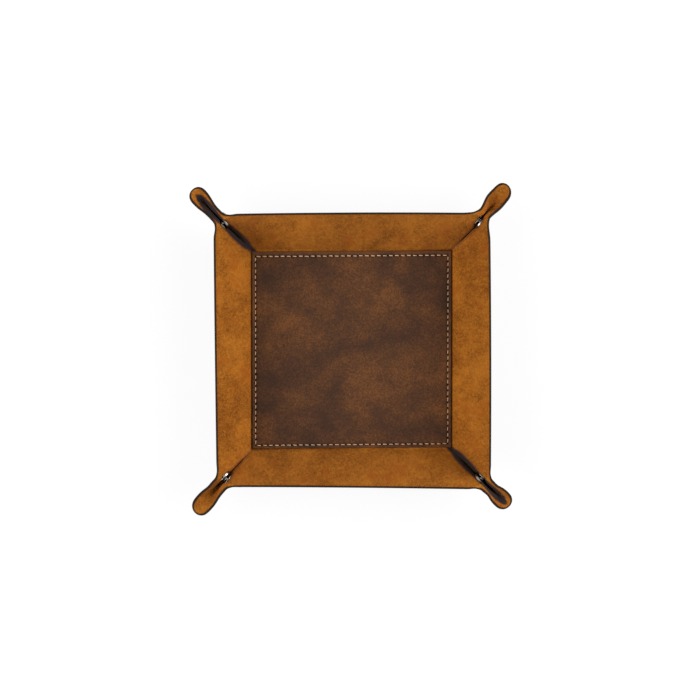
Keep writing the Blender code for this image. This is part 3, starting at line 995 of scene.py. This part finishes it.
def sewn_patch():
    """The height map, a straight skirt, and one flat face underneath."""
    lines = patch_lines()
    x, y = np.meshgrid(lines, lines, indexing="ij")
    height, dark, worn = patch_surface(x, y)
    top = np.stack([x, y, height], axis=-1)
    index = np.arange(x.size).reshape(x.shape)
    cells = grid_cells(index)[:, other_way]
    loop = edge_loop(index)[::-1]
    foot = top.reshape(-1, 3)[loop] * np.array((1, 1, 0)) + UP * patch_foot
    under = x.size + np.arange(len(loop))
    sides = np.stack([loop, under, np.roll(under, -1), np.roll(loop, -1)], axis=-1)
    points = as_cut(np.concatenate([top.reshape(-1, 3), foot]))
    faces = cells.tolist() + sides.tolist() + [under[::-1].tolist()]
    paint = {key: np.concatenate([grid.ravel(), np.zeros(len(loop))])
             for key, grid in (("dark", dark), ("worn", worn))}
    piece = new_piece("sewn_patch", points, faces, patch_leather, paint, sharp=60)
    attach(piece, "base")
    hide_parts("base_patch")
    return piece


patch = sewn_patch()
print("patch:", len(patch.data.polygons), "faces,", stitch_count, "stitches a side")

# %% [markdown]
# The stitches are saddle stitches: each comes out of one needle hole, lies over the channel
# with a slight slant, and goes down the next hole. One stitch is a bent tube, so all of them
# are one array: ring after ring of points round a bowed line.

# %% Stitches
thread_radius = 0.26 * MM
thread_bow = 1.0 * MM           # from a stitch's ends up to its flat top
hole_room = 1.15 * MM           # of the pitch, left to the hole between two stitches


def saddle_stitches():
    """Every stitch is a tube round a flattened arc, thinner where it enters a hole."""
    rings, around = 9, 8
    share = np.linspace(0, 1, rings)
    run = (share - 0.5) * (pitch - hole_room)
    arc = 1 - np.abs(2 * share - 1)**3.2
    rise = patch_top - thread_bow + thread_bow * arc
    slant = 0.06 * MM * np.sin(pi * (share - 0.5))
    fat = thread_radius * (0.62 + 0.38 * np.sqrt(arc))
    turn = np.arange(around) * 2 * pi / around
    ring = np.stack([slant[:, None] + fat[:, None] * np.cos(turn),
                     np.broadcast_to(run[:, None], (rings, around)),
                     rise[:, None] + 0.9 * fat[:, None] * np.sin(turn)], axis=-1)
    starts = -stitch_line + pitch * (np.arange(stitch_count) + 0.5)
    wobble = np.sin(np.arange(stitch_count) * 2.39996)
    points = []
    for quarter in range(4):
        moved = ring[None] + np.zeros((stitch_count, 1, 1, 3))
        moved[..., 0] += stitch_line + 0.07 * MM * wobble[:, None, None]
        moved[..., 1] += starts[:, None, None]
        moved[..., 2] += 0.05 * MM * np.roll(wobble, 7)[:, None, None]
        points.append(at_side(moved, quarter).reshape(-1, 3))
    points = as_cut(np.concatenate(points))
    tube = grid_cells(np.arange(rings * around).reshape(rings, around), wrap=True)[:, other_way]
    base = np.arange(4 * stitch_count)[:, None, None] * rings * around
    tubes = (base + tube).reshape(-1, 4).tolist()
    cap = np.arange(around)
    ends = (base[:, 0] + cap).tolist() + (base[:, 0] + cap[::-1] + (rings - 1) * around).tolist()
    piece = new_piece("saddle_stitches", points, tubes + ends, thread_cotton, {}, sharp=70)
    mesh = piece.data
    vertex = np.zeros(len(mesh.loops), np.int64)
    mesh.loops.foreach_get("vertex_index", vertex)
    own = vertex % (rings * around)
    own_map = np.stack([own // around * 0.35, own % around / around * 2], axis=-1)
    mesh.uv_layers.new(name="UVMap").data.foreach_set("uv", own_map.astype(np.float32).ravel())
    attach(piece, "base")
    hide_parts("patch_thread")
    return piece


stitches = saddle_stitches()
print("stitches:", 4 * stitch_count, "of", len(stitches.data.polygons) // (4 * stitch_count), "faces")

# %% [markdown]
# A snap is four turned parts: on one leather a socket ring and its domed cap, on the other a
# stud and its flanged post. A turned part is an outline carried round an axis. The outlines
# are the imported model's, drawn finer, with the rolled lips and the dimple a real one has.

# %% Snap fasteners
seat_gap = 0.1 * MM             # between the leather and a part's own zero height
turn_steps = 72
arc_points = 5
corner_cut = 0.22               # mm, how much of each corner an arc takes


def rounded_outline(points, soft):
    """Cut every corner of an outline and put a small arc of a few points there."""
    points = np.array(points)
    made = [points[0]]
    for before, point, after in zip(points, points[1:], points[2:]):
        back = before - point
        ahead = after - point
        size = min(soft, np.linalg.norm(back) * 0.45, np.linalg.norm(ahead) * 0.45)
        start = point + unit(back) * size
        end = point + unit(ahead) * size
        for share in np.linspace(0, 1, arc_points):
            made.append(start * (1 - share)**2 + 2 * point * share * (1 - share) + end * share**2)
    made.append(points[-1])
    return np.array(made)


# radius and height in mm, from the leather's face
socket_outline = [(1.2, 0.0), (5.1, 0.0), (5.1, 1.25), (4.7, 1.75), (3.9, 2.05), (3.2, 2.0),
                  (2.75, 1.75), (2.45, 1.3), (2.45, 0.45), (1.2, 0.4)]
cap_outline = [(1.2, 0.4), (1.2, -2.1), (1.2, -1.9), (5.1, -1.9), (5.15, -2.35), (4.6, -2.85),
               (3.2, -3.3), (1.6, -3.5), (0.0, -3.55)]
stud_outline = [(0.0, 2.3), (0.5, 2.85), (1.1, 2.85), (1.75, 2.5), (1.8, 2.0), (1.5, 1.35),
                (1.6, 0.95), (2.4, 0.8), (3.1, 0.8), (4.5, 0.5), (5.1, 0.45), (5.1, 0.0),
                (1.1, 0.0)]
post_outline = [(1.0, 0.8), (1.0, -1.9), (4.2, -1.9), (4.2, -2.2), (3.6, -2.45), (2.6, -2.6),
                (1.6, -2.55), (0.9, -2.35), (0.0, -2.25)]


def snap_place(quarter, mirrored):
    """Middle of a snap in the leather, and the three directions of its own frame."""
    ray = flank_ray(bend_angle + flank_angle / 2)
    return apex + ray * snap_reach, ray, np.cross(flank_inward, ray), flank_inward


def turned(name, outline, quarter, mirrored, body, node):
    """Carry an outline of radius and height round the snap's axis, and close it.

    An outline that keeps off the axis closes into a ring. Otherwise its end on the axis is
    welded into a pole, and its other end gets a flat face.
    """
    profile = rounded_outline(outline, corner_cut) * MM
    turn = np.arange(turn_steps) * 2 * pi / turn_steps
    middle, ray, side, inward = snap_place(quarter, mirrored)
    radius, height = profile[:, :1], profile[:, 1:]
    height = height + half_thick + seat_gap
    points = (middle + (radius * np.cos(turn))[..., None] * ray
              + (radius * np.sin(turn))[..., None] * side + height[..., None] * inward)
    points = give(points, quarter, mirrored)
    along, _, _ = ear_places(points)
    # painted shade on the snap's far half, deep in the fold
    grime = painted_fold_shade(points, quarter, mirrored) * between(along, 35, 39)   # its far half
    points = settle(at_side(points.reshape(-1, 3), quarter, mirrored))
    index = np.arange(len(points)).reshape(-1, turn_steps)
    faces = grid_cells(index, wrap=True).tolist()
    if outline[0][0] > 0 and outline[-1][0] > 0:
        faces += grid_cells(index[[-1, 0]], wrap=True).tolist()
    else:
        faces += [index[0][::-1].tolist()] * (outline[0][0] > 0)
        faces += [index[-1].tolist()] * (outline[-1][0] > 0)
    piece = new_piece(name, points, faces, nickel, {"grime": grime}, sharp=50, weld=True)
    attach(piece, body)
    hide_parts(node)
    return piece


snaps = []
for quarter in range(4):
    for part, outline, mirrored in (("socket", socket_outline, False), ("cap", cap_outline, False),
                                    ("stud", stud_outline, True), ("post", post_outline, True)):
        corner = corner_name(quarter, mirrored)
        snaps.append(turned("snap_" + part + "_at_" + corner, outline, quarter, mirrored,
                            ear_name(quarter, mirrored), "snap_" + part + "_" + corner))
print("snap parts:", len(snaps), "of about", len(snaps[0].data.polygons), "faces")

# %% [markdown]
# The stage is a plain white floor that keeps the tray's shadow. To the camera it is nearly
# white by itself, so that no lamp has to burn it out. Two soft lamps stand low on the
# diagonal, one at the upper right and one at the lower left, and the white world fills in.

# %% Stage, lamps and camera


def white_floor():
    """A large square with the plain shader for light and a glow for the camera."""
    recipe = Recipe("white_floor", {"Roughness": 0.9, "Specular IOR Level": 0.1})
    recipe.shader.inputs["Base Color"].default_value = (0.86, 0.86, 0.86, 1.0)
    seen = recipe.node("ShaderNodeLightPath", output="Is Camera Ray")
    glow = recipe.node("ShaderNodeEmission", None, {"Color": (1, 1, 1, 1), "Strength": 1.0})
    shader = Wire(recipe, recipe.shader.outputs[0])
    mixed = recipe.node("ShaderNodeMixShader", None, {0: seen * 0.88, 1: shader, 2: glow})
    recipe.tree.links.new(mixed.socket, recipe.tree.nodes["Material Output"].inputs["Surface"])
    square = np.array(((-1, -1, 0), (1, -1, 0), (1, 1, 0), (-1, 1, 0)))
    floor = new_piece("floor", square * 4.0, [(0, 1, 2, 3)], recipe.material, {}, sharp=40)


def white_world():
    """Plain white to the camera and in glossy metal, and a weaker white that lights."""
    world = bpy.data.worlds.new("studio")
    bpy.context.scene.world = world
    world.use_nodes = True
    tree = world.node_tree
    fill = tree.nodes["Background"]
    white, path, either, mix = (tree.nodes.new("ShaderNode" + kind)
                                for kind in ("Background", "LightPath", "Math", "MixShader"))
    either.operation = "MAXIMUM"
    for light, strength in ((fill, 0.3), (white, 1.0)):
        light.inputs["Color"].default_value = (1, 1, 1, 1)
        light.inputs["Strength"].default_value = strength
    for source, target in ((path.outputs["Is Camera Ray"], either.inputs[0]),
                           (path.outputs["Is Glossy Ray"], either.inputs[1]),
                           (either.outputs[0], mix.inputs[0]), (fill.outputs[0], mix.inputs[1]),
                           (white.outputs[0], mix.inputs[2]),
                           (mix.outputs[0], tree.nodes["World Output"].inputs["Surface"])):
        tree.links.new(source, target)


def aim(item, place, target, upward):
    """Put a lamp or camera at a place and turn it to look at a target."""
    ahead = (Vector(target) - Vector(place)).normalized()
    right = ahead.cross(Vector(upward)).normalized()
    item.location = place
    item.rotation_euler = Matrix((right, right.cross(ahead), -ahead)).transposed().to_euler()
    bpy.context.scene.collection.objects.link(item)


def soft_lamp(name, azimuth, elevation, distance, size, power):
    """A square lamp, placed by its angle from +X seen from above and its height."""
    lamp = bpy.data.lights.new(name, "AREA")
    lamp.size, lamp.energy = size, power
    way = np.array((cos(azimuth) * cos(elevation), sin(azimuth) * cos(elevation), sin(elevation)))
    aim(bpy.data.objects.new(name, lamp), way * distance, (0, 0, 0), UP)


def overhead_camera():
    """Straight above, a little to the back left, with the back wall at the top of the frame."""
    camera = bpy.data.cameras.new("camera")
    camera.lens = 85.0
    camera.sensor_width = 36.0
    item = bpy.data.objects.new("camera", camera)
    aim(item, (-0.0272, 0.0247, 1.14), (-0.0012, -0.0003, 0.0), ALONG)
    bpy.context.scene.camera = item


white_floor()
white_world()
soft_lamp("lamp_upper_right", radians(20), radians(37), 1.2, 1.0, 17.8)
soft_lamp("lamp_lower_left", radians(200), radians(37), 1.2, 1.0, 15.3)
overhead_camera()
bpy.context.scene.view_settings.view_transform = "Standard"
